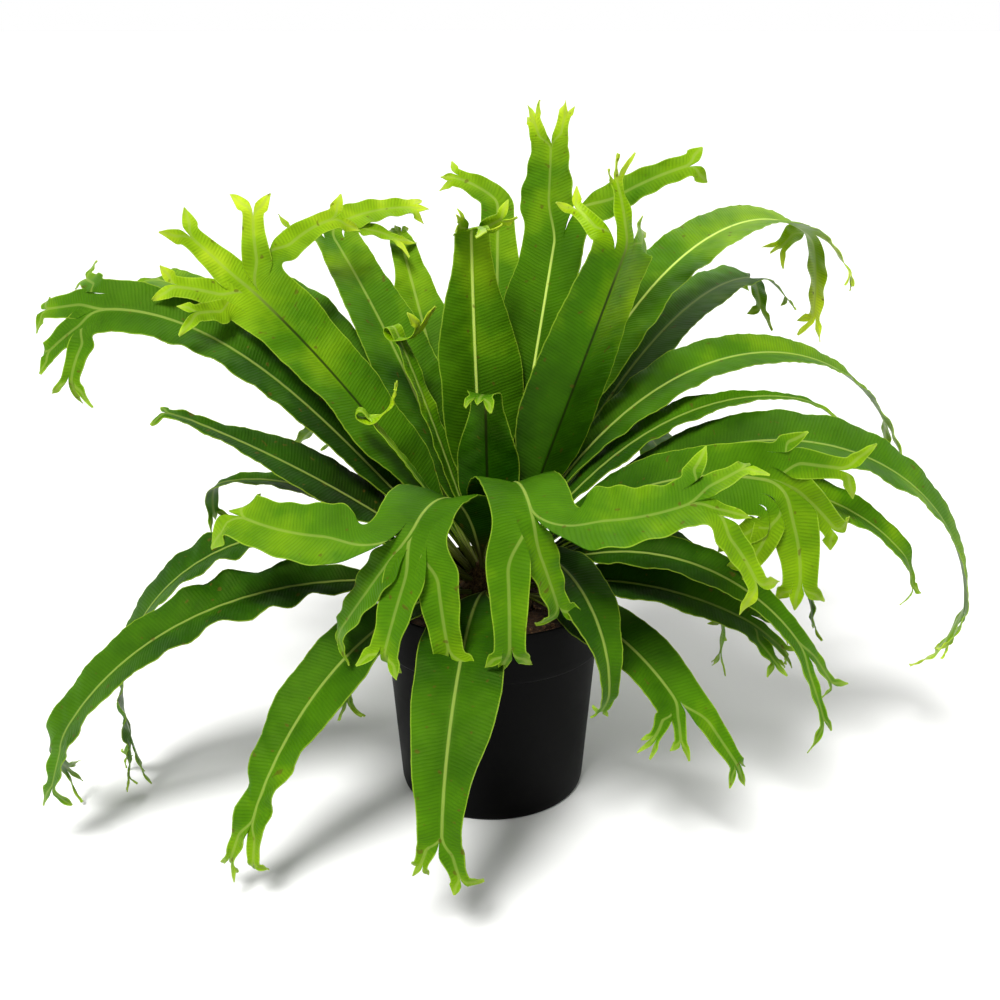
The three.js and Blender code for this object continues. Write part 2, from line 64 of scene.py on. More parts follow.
FRONDS = {
    "frond_left_arching": dict(
        heading=172, length=276, width=38, rise=47, droop=50, bend=3.4, roll=-20, twist=-30, start=165, end=1,
        light=0.2, wave=0.8,
        lobes=[[78, 36, 20, 17], [35, 42, 20, 20], [-5, 44, 20, 20], [-45, 30, 40, 15]]),
    "frond_left_broad": dict(
        heading=178, length=190, width=42, rise=40.5, droop=18, bend=1, roll=-18, start=184, end=0.3,
        light=0.05, wave=1.5, lobes=[[10, 14, 0, 12]]),
    "frond_left_short": dict(
        heading=167, length=170, width=26, rise=34, droop=50, bend=2, roll=-10, end=0.5,
        light=0.15, lobes=[[-40, 34, 60, 12]]),
    "frond_left_crested": dict(
        heading=163, length=206, width=46, rise=58.5, droop=17, bend=1, roll=-20, twist=-30, end=1,
        light=0.42, rib=-1, wave=0.5,
        lobes=[[70, 30, -40, 15], [40, 46, 0, 18], [5, 54, -10, 20], [-45, 48, -10, 18], [-110, 60, 10, 18]]),
    "frond_left_back_arching": dict(
        heading=152, length=285, width=36, rise=44, droop=38, bend=3, roll=-10, end=0.9,
        light=0.35, lobes=[[40, 30, 30, 15], [-30, 32, 60, 16]]),
    "frond_left_back_high": dict(
        heading=141, length=305, width=34, rise=53, droop=82, bend=2.6, roll=-15, start=144, end=0.6,
        light=0.35, lobes=[[20, 40, 20, 15]]),
    "frond_left_back_forked": dict(
        heading=131, length=230, width=50, rise=59, droop=18, bend=1.5, roll=-5, start=124, end=0.7,
        light=0.4, lobes=[[70, 20, 0, 12], [-110, 70, -10, 20], [-140, 36, 0, 12]]),
    "frond_back_broad": dict(
        heading=112, length=225, width=54, rise=53, droop=5, bend=1, roll=-5, end=0.35,
        light=0.35, lobes=[[0, 12, 0, 16]]),
    "young_frond_left_tall": dict(
        heading=143, length=150, width=14, rise=69, droop=8, bend=1, roll=0, end=0.8,
        light=0.45, lobes=[[0, 34, 300, 13]]),
    "young_frond_left_short": dict(
        heading=182, length=118, width=14, rise=63, droop=12, bend=1, roll=0, end=0.8,
        light=0.45, lobes=[[0, 32, 300, 13]]),
    "frond_centre_upright": dict(
        heading=115, length=194, width=56, rise=80, droop=-8, bend=1, roll=0, end=0.42,
        light=0.42, rib=1, wave=0.5, lobes=[[50, 16, -60, 12], [0, 22, -100, 12], [-50, 16, -60, 12]]),
    "frond_tallest": dict(
        heading=50, length=192, width=60, rise=74, droop=-2, bend=1, roll=0, end=0.8,
        light=0.28, rib=1, wave=0.5,
        lobes=[[6, 56, -5, 40, [[22, 15, -10, 13], [-14, 17, 0, 12]]], [-62, 84, 25, 20]]),
    "frond_back_upright": dict(
        heading=88, length=220, width=44, rise=66, droop=0, bend=1, roll=0, end=0.5,
        light=0.35, wave=0.4, lobes=[[70, 36, 10, 16]]),
    "frond_right_upright": dict(
        heading=-4, length=200, width=58, rise=71, droop=0, bend=1, roll=-55, start=8, end=0.8,
        light=0.4, rib=-1, wave=0.4, lobes=[[40, 20, -60, 14], [-15, 40, -40, 12], [-60, 28, -60, 12]]),
    "frond_right_back_arching": dict(
        heading=37, length=345, width=48, rise=61, droop=90, bend=2.4, roll=10, start=45, end=0.8,
        light=0.5, rib=1, lobes=[[60, 30, 40, 14], [-10, 65, 60, 20], [-60, 32, 30, 13]]),
    "frond_right_back_low": dict(
        heading=44, length=285, width=42, rise=48, droop=54, bend=2.6, roll=8, end=0.9,
        light=0.3, lobes=[[35, 28, 40, 14], [0, 32, 60, 14], [-50, 22, 40, 12]]),
    "frond_right_high": dict(
        heading=21, length=335, width=42, rise=59, droop=116, bend=1.5, roll=15, start=28, end=0.45,
        light=0.45, rib=0.5, lobes=[[20, 36, 20, 11], [-30, 30, 10, 9]]),
    "frond_right_narrow": dict(
        heading=11, length=220, width=28, rise=54, droop=68, bend=1.6, roll=12, start=13, end=0.3,
        light=0.3, lobes=[[0, 25, 20, 9]]),
    "frond_right_longest": dict(
        heading=3, length=362, width=50, rise=47, droop=132, bend=1.5, roll=20, end=0.5,
        light=0.4, rib=0.3, lobes=[[0, 38, 30, 15], [-35, 25, 30, 10]]),
    "frond_right_inner": dict(
        heading=-6, length=258, width=40, rise=42, droop=91, bend=1.5, roll=18, start=-9, end=0.6,
        light=0.3, lobes=[[0, 22, 30, 14]]),
    "frond_right_antler": dict(
        heading=-16, length=170, width=44, rise=51, droop=54, bend=1.3, roll=12, twist=62, end=1,
        light=0.3, wave=0.5,
        lobes=[
            [40, 26, 30, 13], [0, 44, 30, 18], [-45, 54, 28, 20], [-85, 66, 14, 28], [-125, 46, 10, 17],
            [-165, 30, 20, 15]]),
    "frond_right_drooping": dict(
        heading=17, length=255, width=42, rise=43, droop=122, bend=1.4, roll=12, start=22, end=0.4,
        light=0.2, lobes=[[10, 40, 0, 12]]),
    "frond_right_tucked": dict(
        heading=5, length=150, width=40, rise=38, droop=108, bend=1.3, roll=15, start=2, end=0.6,
        light=0.2, lobes=[[25, 26, 20, 13], [-40, 30, 20, 13]]),
    "frond_right_slender": dict(
        heading=-20, length=188, width=30, rise=37, droop=88, bend=1.2, roll=20, start=-26, end=0.6,
        light=0.2, lobes=[[20, 40, 20, 10], [-20, 46, 10, 10]]),
    "frond_right_low": dict(
        heading=-14, length=138, width=36, rise=20, droop=44, bend=1, roll=18, end=0.9,
        light=0.15, lobes=[[25, 24, 20, 13], [0, 30, 20, 13], [-30, 25, 10, 12]]),
    "frond_right_lowest": dict(
        heading=-40, length=122, width=38, rise=15, droop=59, bend=1, roll=18, end=0.9,
        light=0.15, lobes=[[5, 48, 10, 16], [-35, 24, 0, 10], [-70, 20, 0, 10]]),
    "frond_front_antler_left": dict(
        heading=-115, length=114, width=48, rise=71, droop=101, bend=1.8, roll=0, start=-126, end=1,
        light=0.22, rib=0.4, wave=0.4,
        lobes=[[20, 70, 62, 24], [-12, 72, 44, 26], [-48, 74, 44, 26], [-98, 92, -8, 44]]),
    "frond_front_antler_right": dict(
        heading=-77, length=123, width=48, rise=76, droop=103, bend=1.8, roll=0, start=-62, end=1,
        light=0.22, rib=0.4, wave=0.4,
        lobes=[
            [92, 80, -20, 46, [[50, 28, -10, 15], [12, 34, 0, 15], [-25, 34, 30, 14], [-75, 50, 60, 16]]],
            [34, 60, 60, 22], [-4, 78, 52, 24]]),
    "frond_front_hanging": dict(
        heading=-99, length=192, width=50, rise=26, droop=108, bend=1.1, roll=0, end=0.5,
        light=0.25, wave=1.0, lobes=[[20, 22, 0, 14], [-20, 16, 0, 11]]),
    "frond_front_right_hanging": dict(
        heading=-58, length=155, width=36, rise=56, droop=150, bend=1.1, roll=0, end=0.35,
        light=0.15, lobes=[[0, 14, 30, 10]]),
    "frond_front_left_short": dict(
        heading=209.6, length=98, width=16, rise=42, droop=116, bend=1.1, roll=-12, end=0.9,
        light=0.25, lobes=[[20, 35, 0, 12], [-40, 20, 0, 11]]),
    "young_frond_front": dict(
        heading=-104, length=104, width=40, rise=86, droop=0, bend=1, roll=0, end=0.5,
        light=0.2, rib=-1, lobes=[[0, 14, 90, 20]]),
    "frond_left_drooping_outer": dict(
        heading=197, length=262, width=44, rise=17, droop=74, bend=1.4, roll=-16, end=0.8,
        light=0.2, wave=2.2, lobes=[[20, 30, 10, 22], [-40, 61, 50, 11]]),
    "frond_left_drooping_inner": dict(
        heading=184, length=306, width=36, rise=38, droop=140, bend=1.2, roll=-15, start=197, end=0.6,
        light=0.25, wave=2, lobes=[[40, 20, -20, 9], [0, 22, 0, 11], [-50, 30, -20, 9]]),
    "frond_front_left_drooping": dict(
        heading=224, length=200, width=42, rise=22, droop=88, bend=0.8, roll=-12, end=0.5,
        light=0.3, wave=2.4, lobes=[[10, 22, 10, 11], [-10, 26, 10, 11]]),
    "frond_back_high": dict(
        heading=75, length=250, width=46, rise=52, droop=88, bend=1.6, roll=0, end=0.8,
        light=0.3, lobes=[[25, 30, 20, 18], [-25, 30, 20, 18]]),
    "frond_back_middle": dict(
        heading=98, length=245, width=46, rise=42, droop=105, bend=1.5, roll=0, end=0.8,
        light=0.3, lobes=[[25, 34, 20, 18], [-25, 28, 20, 16]]),
    "frond_back_left": dict(
        heading=122, length=235, width=44, rise=38, droop=70, bend=1.5, roll=0, end=0.8,
        light=0.25, lobes=[[30, 30, 20, 16], [-20, 34, 20, 16]]),
    "frond_back_right": dict(
        heading=58, length=235, width=44, rise=38, droop=80, bend=1.5, roll=0, end=0.8,
        light=0.25, lobes=[[20, 36, 20, 18], [-30, 26, 20, 16]]),
    "frond_back_low": dict(
        heading=84, length=190, width=42, rise=25, droop=105, bend=1.2, roll=0, end=0.8,
        light=0.2, lobes=[[20, 30, 20, 16], [-25, 24, 20, 15]]),
}

ROW_STEP = 2.6  # rows along a midrib
CELLS = 28  # faces across a blade
STALK_WIDTH = 3.2
STALK_THICKNESS = 1.8
LEAF_THICKNESS = 0.45
BLADE_FOLD = 18  # degrees that each half rises from the midrib
LOBE_FOLD = 8
RIB_HEIGHT = 0.9  # how far the midrib stands out under the leaf
RIB_WIDTH = 1.1
WAVE_LENGTH = 27  # of the margin's ruffle
EARLY_TURN = 0.6  # share of a lobe's turn that it makes near its root
LOBE_STEP = 1.8  # rows along a lobe
LOBE_ROWS = 8  # the fewest rows in a lobe
LOBE_LIGHTER = 0.14  # how much yellower a lobe gets by its tip
QUILT_LENGTH = 9.5  # of the soft swellings between the side veins
QUILT_HEIGHT = 0.28
FULL_TURN = 6.28  # radians, for random phases

SOIL_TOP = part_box("potting_soil")[1].z / MM
CROWN_LOW, CROWN_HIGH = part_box("rootstock")
CROWN_FOOT_RADIUS = CROWN_HIGH.x / MM
CROWN_TOP_RADIUS = 8


def smoothstep(x, low, high):
    """0 below low, 1 above high, and 3t^2 - 2t^3 between them."""
    t = np.clip((np.asarray(x, float) - low) / (high - low), 0, 1)
    return t * t * (3 - 2 * t)


def lerp(a, b, t):
    return a + (b - a) * t


def seeded(name):
    """The same random numbers for the same name."""
    return np.random.default_rng(zlib.crc32(name.encode()))


def unit(vectors):
    return vectors / np.linalg.norm(vectors, axis=-1, keepdims=True)


def walk(start, along, length):
    """Points from start along unit directions, each step the mean of the two directions beside it."""
    step = length / (len(along) - 1)
    moves = (along[1:] + along[:-1]) / 2 * step
    return start + np.vstack([np.zeros(3), np.cumsum(moves, axis=0)])


class Sheet:
    """A growing sheet of leaf: vertices with their values, and the quads between them."""

    def __init__(self):
        self.points = np.zeros((0, 3))
        self.values = {k: np.zeros(0) for k in ("span", "along", "edge", "light", "crest", "thick")}
        self.quads = []

    def add(self, points, **values):
        """Adds a rows x columns block of points and returns its vertex numbers in the same shape."""
        shape = points.shape[:2]
        first = len(self.points)
        self.points = np.vstack([self.points, points.reshape(-1, 3)])
        for key in self.values:
            block = np.broadcast_to(values[key], shape).reshape(-1)
            self.values[key] = np.concatenate([self.values[key], block])
        return first + np.arange(shape[0] * shape[1]).reshape(shape)

    def join(self, numbers):
        """Quads over a rows x columns block of vertex numbers, facing up when columns run left to right."""
        a, b = numbers[:-1, :-1], numbers[:-1, 1:]
        c, d = numbers[1:, 1:], numbers[1:, :-1]
        self.quads.append(np.stack([a, b, c, d], axis=-1).reshape(-1, 4))


def split_cells(cells, widths, least):
    """Shares a row's cells between lobes by width, at least a few each."""
    shares = np.array(widths, float) / sum(widths) * cells
    counts = np.maximum(np.round(shares).astype(int), least)
    while counts.sum() != cells:
        gap = counts - shares
        pick = gap.argmax() if counts.sum() > cells else gap.argmin()
        counts[pick] += -1 if counts.sum() > cells else 1
    return counts


def grow_lobe(sheet, row, base, lobe, rng, depth):
    """A lobe that goes on from part of the last row of its blade.

    Its direction is along, turned by T(s) about the face and by F(s) about the side, with
    T = turn * (early * smoothstep + (1 - early) * s). Its section starts as the row it grows from and
    becomes a shallow V of half width lerp(root, width/2) * (1 - taper), ruffled at the margins.
    """
    turn, length, fall, width = lobe[:4]
    forks = lobe[4] if len(lobe) > 4 else None
    first = sheet.points[row]
    middle = first[len(row) // 2] if len(row) % 2 else (first[len(row) // 2 - 1] + first[len(row) // 2]) / 2
    root_half = np.linalg.norm(first[-1] - first[0]) / 2
    rows = max(LOBE_ROWS, int(length / LOBE_STEP))
    s = np.linspace(0, 1, rows + 1)
    ease = EARLY_TURN * smoothstep(s, 0, 0.3) + (1 - EARLY_TURN) * s
    turned = np.radians(turn) * ease
    fallen = np.radians(fall) * ease
    level = np.cos(turned)[:, None] * base["along"] + np.sin(turned)[:, None] * base["side"]
    along = np.cos(fallen)[:, None] * level - np.sin(fallen)[:, None] * base["face"]
    side = -np.sin(turned)[:, None] * base["along"] + np.cos(turned)[:, None] * base["side"]
    face = np.cross(along, side)
    path = walk(middle, along, length)
    if forks is None and depth < 2:
        forks = teeth(rng, len(row) - 1, width, length, depth)
    taper = 1 - 0.3 * smoothstep(s, 0.4, 1) if forks else np.maximum(1 - s ** 1.7, 0.05) ** 0.85
    half = lerp(root_half, width / 2, smoothstep(s, 0, 0.45)) * taper
    across = np.linspace(1, -1, len(row))
    fold = math.radians(LOBE_FOLD)
    ruffle = rng.uniform(0.5, 1.3) * np.abs(across) ** 2 * np.sin(
        s[:, None] * length / rng.uniform(2.2, 3.4) + rng.uniform(0, FULL_TURN) + across * rng.uniform(1, 3)
    )
    height = half[:, None] * math.sin(fold) * np.abs(across) + ruffle * smoothstep(s, 0.1, 0.5)[:, None]
    sideways = side[:, None] * (half[:, None] * across)[..., None]
    own = path[:, None] + sideways + face[:, None] * height[..., None]
    carried = first[None] - middle + path[:, None]
    points = lerp(carried, own, smoothstep(s, 0, 0.4)[:, None, None])
    reach = base["reach"] + s * length
    crest = np.clip(base["crest"] + s * 0.5, 0, 1)
    settle = smoothstep(s, 0, 0.5)[:, None]
    block = sheet.add(
        points[1:],
        span=lerp(sheet.values["span"][row], half[:, None] * across, settle)[1:],
        along=reach[1:, None],
        edge=lerp(sheet.values["edge"][row], half[:, None] * (1 - np.abs(across)), settle ** 0.5)[1:],
        light=np.clip(base["light"] + LOBE_LIGHTER * s, 0, 1.3)[1:, None],
        crest=crest[1:, None],
        thick=LEAF_THICKNESS,
    )
    numbers = np.vstack([row, block])
    sheet.join(numbers)
    if not forks:
        return
    counts = split_cells(len(row) - 1, [f[3] for f in forks], 2)
    end = dict(along=along[-1], side=side[-1], face=face[-1], reach=reach[-1],
               light=base["light"] + LOBE_LIGHTER, crest=crest[-1])
    at = 0
    for fork, count in zip(forks, counts):
        grow_lobe(sheet, numbers[-1, at:at + count + 1], end, fork, rng, depth + 1)
        at += count


def teeth(rng, cells, width, length, depth):
    """Small forks at a lobe's end, spread like fingers."""
    count = min(3 if rng.random() < 0.55 else 2, cells // 2)
    if count < 2:
        return None
    turns = np.linspace(46, -46, count) + rng.uniform(-16, 16, count)
    lengths = rng.uniform(0.7, 1.5, count) * min(16, 0.3 * length + 4)
    falls = rng.uniform(-20, 70, count)
    return [[t, max(l, 4), f, 1.15 * width / count, []] for t, l, f in zip(turns, lengths, falls)]


def frond_sheet(name, frond):
    """A whole frond: the blade's rows from the rootstock outwards, then its lobes.

    Slope of the midrib is rise - droop * s^bend. Half width is lerp(stalk, width/2, smoothstep) with a
    taper to end. A section is a rounded V, H * sin(fold) * (sqrt(u^2 + e^2) - e), plus the ruffle
    wave * |u|^p * sin(2 pi L / wave length + phase), with phases of its own on each side.
    """
    rng = seeded(name)
    rows = int(frond["length"] / ROW_STEP)
    s = np.linspace(0, 1, rows + 1)
    reach = s * frond["length"]
    sway = rng.uniform(-2, 2) * np.sin(s * rng.uniform(3, 6))
    heading = np.radians(frond["heading"] + sway)
    pitch = np.radians(frond["rise"] - frond["droop"] * s ** frond["bend"])
    along = np.stack([np.cos(pitch) * np.cos(heading), np.cos(pitch) * np.sin(heading), np.sin(pitch)], -1)
    level = np.stack([-np.sin(heading), np.cos(heading), np.zeros_like(s)], -1)
    roll = np.radians(frond["roll"] + frond.get("twist", 0) * s ** 4)[:, None]
    side = np.cos(roll) * level + np.sin(roll) * np.cross(along, level)
    face = np.cross(along, side)

    high = np.clip((frond["rise"] + 10) / 95, 0, 1)
    angle = math.radians(frond.get("start", frond["heading"]))
    radius = lerp(CROWN_FOOT_RADIUS, CROWN_TOP_RADIUS, high) - 1
    foot = CROWN_LOW.z / MM + 3
    root = np.array([
        radius * math.cos(angle), radius * math.sin(angle), lerp(foot, CROWN_HIGH.z / MM, high),
    ])
    path = walk(root, along, frond["length"])

    grow = smoothstep(s, 0.04, 0.5)
    taper = 1 - (1 - frond["end"]) * smoothstep(s, 0.6, 1)
    half = lerp(STALK_WIDTH / 2, frond["width"] / 2, grow) * taper
    v = np.linspace(1, -1, CELLS + 1)
    across = np.sign(v) * np.abs(v) ** 1.15
    size = np.abs(across)[None]
    leafy = smoothstep(s, 0.12, 0.35)[:, None]
    ripple = sum(
        rng.uniform(0.02, 0.05) * np.sin(reach / rng.uniform(7, 22) + rng.uniform(0, FULL_TURN))
        for _ in range(3)
    )
    lean = np.where(across > 0, 1, -1)[None] * ripple[:, None] * leafy
    wide = half[:, None] * (1 + lean * size)
    fold = math.radians(BLADE_FOLD)
    soft = 0.08
    vee = half[:, None] * math.sin(fold) * (np.sqrt(size ** 2 + soft ** 2) - soft - 0.3 * size ** 3)
    swing = 0.55 + 0.45 * np.sin(reach / rng.uniform(22, 38) + rng.uniform(0, FULL_TURN))[:, None]
    wave = frond.get("wave", 0.7) * swing
    phase = rng.uniform(0, FULL_TURN, 4)
    beat = reach[:, None] / (WAVE_LENGTH * rng.uniform(0.85, 1.15)) * 2 * math.pi
    left = np.sin(beat + phase[0] + 0.6 * np.sin(beat * 0.37 + phase[2]))
    right = np.sin(beat * 0.93 + phase[1] + 0.6 * np.sin(beat * 0.41 + phase[3]))
    ruffle = wave * 1.6 * size ** 2.4 * np.where(across > 0, left, right)
    pucker = wave * 0.35 * size * (1 - size) * 4 * np.sin(beat * 2.1 + 5 * size + phase[2])
    slanted = reach[:, None] - 0.5 * half[:, None] * size
    drift = 1.2 * np.sin(beat * 0.7 + np.where(across > 0, 0, 2))
    quilt = QUILT_HEIGHT * size * np.sin(slanted * 2 * math.pi / QUILT_LENGTH + drift)
    rib = 0.25 * np.exp(-((half[:, None] * across) / 0.8) ** 2)
    height = vee + (ruffle + pucker + quilt) * leafy + rib
    points = (
        path[:, None]
        + side[:, None] * (wide * across * math.cos(fold))[..., None]
        + face[:, None] * height[..., None]
    )
    body = lerp(STALK_THICKNESS, LEAF_THICKNESS, smoothstep(s, 0, 0.35))[:, None]
    keel = RIB_HEIGHT * np.exp(-((half[:, None] * across) / RIB_WIDTH) ** 2) * (1 - 0.7 * s[:, None])
    sheet = Sheet()
    # light: each frond's painted light from the table, yellower towards the tip and darker towards the
    # rootstock
    light = frond["light"] + 0.3 * smoothstep(s, 0.35, 1) - 0.25 * (1 - smoothstep(s, 0.05, 0.35))
    numbers = sheet.add(
        points,
        span=half[:, None] * across,
        along=reach[:, None],
        edge=wide * (1 - size),
        light=light[:, None],
        crest=0.25 * smoothstep(s, 0.8, 1)[:, None],
        thick=body + keel,
    )
    sheet.join(numbers)
    end = dict(along=along[-1], side=side[-1], face=face[-1], reach=reach[-1],
               light=float(light[-1]), crest=0.25)
    counts = split_cells(CELLS, [lobe[3] for lobe in frond["lobes"]], 4)
    at = 0
    for lobe, count in zip(frond["lobes"], counts):
        grow_lobe(sheet, numbers[-1, at:at + count + 1], end, lobe, rng, 0)
        at += count
    return sheet


def vertex_normals(points, quads):
    """Each vertex's normal: the sum of the cross products of its faces' diagonals, made unit."""
    corner = points[quads]
    facing = np.cross(corner[:, 2] - corner[:, 0], corner[:, 3] - corner[:, 1])
    total = np.zeros_like(points)
    for k in range(4):
        np.add.at(total, quads[:, k], facing)
    return unit(total + 1e-12)


def closed_leaf(sheet):
    """The sheet with an underside, its thickness below each vertex, and a rim that joins the two."""
    top = np.vstack(sheet.quads)[:, ::-1]
    count = len(sheet.points)
    normals = vertex_normals(sheet.points, top)
    under = sheet.points - normals * sheet.values["thick"][:, None]
    edges = np.concatenate([top[:, [k, (k + 1) % 4]] for k in range(4)])
    key = edges.min(1).astype(np.int64) * count + edges.max(1)
    _, inverse, uses = np.unique(key, return_inverse=True, return_counts=True)
    rim = edges[uses[inverse] == 1]
    rim_quads = np.stack([rim[:, 1], rim[:, 0], rim[:, 0] + count, rim[:, 1] + count], -1)
    quads = np.vstack([top, top[:, ::-1] + count, rim_quads])
    finish = np.repeat([0, 1, 0], [len(top), len(top), len(rim)])
    points = np.vstack([sheet.points, under])
    values = {k: np.tile(v, 2) for k, v in sheet.values.items() if k != "thick"}
    return points, quads, finish, values


# ---- Meshes and materials ----


def write_mesh(name, points, quads, materials, finish=None, values=None, sharp=60):
    """A mesh object at the origin from points in mm, quads and per-vertex values."""
    mesh = bpy.data.meshes.new(name)
    mesh.vertices.add(len(points))
    mesh.vertices.foreach_set("co", (points * MM).astype(np.float32).ravel())
    sides = quads.shape[1]
    mesh.loops.add(quads.size)
    mesh.loops.foreach_set("vertex_index", quads.astype(np.int32).ravel())
    mesh.polygons.add(len(quads))
    mesh.polygons.foreach_set("loop_start", np.arange(0, quads.size, sides, dtype=np.int32))
    mesh.polygons.foreach_set("use_smooth", np.ones(len(quads), bool))
    for material in materials:
        mesh.materials.append(material)
    if finish is not None:
        mesh.polygons.foreach_set("material_index", finish.astype(np.int32))
    mesh.update(calc_edges=True)
    for key, value in (values or {}).items():
        attribute = mesh.attributes.new(key, "FLOAT", "POINT")
        attribute.data.foreach_set("value", value.astype(np.float32))
    mesh.set_sharp_from_angle(angle=math.radians(sharp))
    made = bpy.data.objects.new(name, mesh)
    bpy.context.scene.collection.objects.link(made)
    return made


def colour(text):
    """An sRGB hex colour as linear red, green, blue and alpha."""
    channels = [int(text[i:i + 2], 16) / 255 for i in (1, 3, 5)]
    return [c / 12.92 if c <= 0.04045 else ((c + 0.055) / 1.055) ** 2.4 for c in channels] + [1]


def node(tree, kind, inputs=None, out=0, stops=(), **settings):
    """Adds a shader node and returns one of its outputs, by its name or number.

    inputs are values or other nodes' outputs, by the input's name or number. settings are the node's own
    properties, and stops are the places and colours of a colour ramp.
    """
    made = tree.nodes.new("ShaderNode" + kind)
    for key, value in settings.items():
        setattr(made, key, value)
    for key, value in (inputs or {}).items():
        if isinstance(value, bpy.types.NodeSocket):
            tree.links.new(value, made.inputs[key])
        else:
            made.inputs[key].default_value = value
    for i, (place, text) in enumerate(stops):
        elements = made.color_ramp.elements
        element = elements[i] if i < 2 else elements.new(place)
        element.position = place
        element.color = colour(text)
    return made.outputs[out] if made.outputs else None


def new_material(name):
    """An empty material and its node tree."""
    material = bpy.data.materials.new(name)
    material.use_nodes = True
    material.node_tree.nodes.clear()
    return material, material.node_tree


# Fresh fern leaf, grown: waxy above and matt below.

VEIN_SPACING = 2.0  # mm along the midrib; the real veins are 1 mm apart, too fine to show
VEIN_SLANT = 0.3  # how far a vein runs towards the tip for each mm outwards
CLOUD = 0.035  # metres, size of the paler patches
FLECK = 0.004  # of the brown specks
LEAF_GRAIN = 0.0009  # of the skin's fine unevenness


def leaf_material(name, stops, vein_dark, roughness, vein_height):
    """One face of a leaf.

    To the eye: fine side veins that slant from the midrib to a thin margin with a painted highlight, the
    glow of light through the thin edge, green that yellows towards the crest and carries each frond's painted
    light, with cloudy patches, a brown stalk and a few brown specks.
    """
    material, tree = new_material(name)
    place = node(tree, "TexCoord", out="Object")
    across = node(tree, "Attribute", attribute_name="span", out="Fac")
    span = node(tree, "Math", {0: across}, operation="ABSOLUTE")
    along = node(tree, "Attribute", attribute_name="along", out="Fac")
    edge = node(tree, "Attribute", attribute_name="edge", out="Fac")
    # light carries each frond's painted light as well as its yellowing
    yellowing_and_painted_light = node(tree, "Attribute", attribute_name="light", out="Fac")
    rib = node(tree, "Attribute", attribute_name="rib", out="Fac")

    cloud = node(tree, "TexNoise", {"Vector": place, "Scale": 1 / CLOUD, "Detail": 3.0})
    shifted = node(tree, "Math", {0: yellowing_and_painted_light, 1: 0.3}, operation="SUBTRACT")
    green = node(tree, "Math", {0: cloud, 1: 0.6, 2: shifted}, operation="MULTIPLY_ADD")
    base = node(tree, "ValToRGB", {0: green}, stops=stops)

    wander = node(tree, "TexNoise", {"Vector": place, "Scale": 1 / 0.012, "Detail": 1.0})
    slanted = node(tree, "Math", {0: span, 1: -VEIN_SLANT, 2: along}, operation="MULTIPLY_ADD")
    wavy = node(tree, "Math", {0: wander, 1: 1.6, 2: slanted}, operation="MULTIPLY_ADD")
    beat = node(tree, "Math", {0: wavy, 1: 2 * math.pi / VEIN_SPACING}, operation="MULTIPLY")
    swing = node(tree, "Math", {0: beat}, operation="SINE")
    share = node(tree, "Math", {0: swing, 1: 0.5, 2: 0.5}, operation="MULTIPLY_ADD")
    thin = node(tree, "Math", {0: share, 1: 2.0}, operation="POWER")
    beside_rib = node(tree, "MapRange", {0: span, 1: 0.8, 2: 3.0})
    vein = node(tree, "Math", {0: thin, 1: beside_rib}, operation="MULTIPLY")
    veined = node(tree, "Math", {0: vein, 1: vein_dark}, operation="MULTIPLY")
    base = node(tree, "Mix", {0: veined, 6: base, 7: colour("#183A02")}, out=2, data_type="RGBA")

    rib_share = node(tree, "Math", {0: rib, 1: 0.5, 2: 0.5}, operation="MULTIPLY_ADD")
    rib_colour = node(
        tree, "Mix", {0: rib_share, 6: colour("#101804"), 7: colour("#B8CC60")}, out=2, data_type="RGBA")
    on_rib = node(
        tree, "MapRange", {0: span, 1: 0.45, 2: 1.3, 3: 1.0, 4: 0.0}, interpolation_type="SMOOTHSTEP")
    rib_size = node(tree, "Math", {0: rib}, operation="ABSOLUTE")
    rib_strength = node(tree, "Math", {0: rib_size, 1: 0.55, 2: 0.35}, operation="MULTIPLY_ADD")
    ribbed = node(tree, "Math", {0: on_rib, 1: rib_strength}, operation="MULTIPLY")
    base = node(tree, "Mix", {0: ribbed, 6: base, 7: rib_colour}, out=2, data_type="RGBA")

    # Painted highlight: the pale line along the margin stands in for the glow of light through the thin edge.
    margin = node(
        tree, "MapRange", {0: edge, 1: 0.25, 2: 0.8, 3: 0.42, 4: 0.0}, interpolation_type="SMOOTHSTEP")
    base = node(tree, "Mix", {0: margin, 6: base, 7: colour("#9AB634")}, out=2, data_type="RGBA")
    stalk = node(
        tree, "MapRange", {0: along, 1: 8.0, 2: 34.0, 3: 0.85, 4: 0.0}, interpolation_type="SMOOTHSTEP")
    base = node(tree, "Mix", {0: stalk, 6: base, 7: colour("#2C2A10")}, out=2, data_type="RGBA")
    fleck = node(tree, "TexNoise", {"Vector": place, "Scale": 1 / FLECK, "Detail": 0.0})
    specks = node(tree, "MapRange", {0: fleck, 1: 0.77, 2: 0.83, 3: 0.0, 4: 0.6})
    base = node(tree, "Mix", {0: specks, 6: base, 7: colour("#4A3A10")}, out=2, data_type="RGBA")

    patchy = node(tree, "Math", {0: cloud, 1: 0.16, 2: roughness - 0.08}, operation="MULTIPLY_ADD")
    rough = node(tree, "Math", {0: vein, 1: 0.06, 2: patchy}, operation="MULTIPLY_ADD")
    grain = node(tree, "TexNoise", {"Vector": place, "Scale": 1 / LEAF_GRAIN, "Detail": 2.0})
    furrow = node(tree, "Math", {0: vein, 1: vein_height}, operation="MULTIPLY")
    relief = node(tree, "Math", {0: grain, 1: 0.12, 2: furrow}, operation="MULTIPLY_ADD")
    bump = node(tree, "Bump", {"Height": relief, "Strength": 0.5, "Distance": 0.0004})
    shader = node(tree, "BsdfPrincipled", {
        "Base Color": base, "Roughness": rough, "Normal": bump, "IOR": 1.42, "Specular IOR Level": 0.3,
        "Specular Tint": colour("#CCE478"), "Subsurface Weight": 0.2, "Subsurface Radius": (0.7, 1.0, 0.1),
        "Subsurface Scale": 0.0012,
    })
    node(tree, "OutputMaterial", {"Surface": shader})
    return material


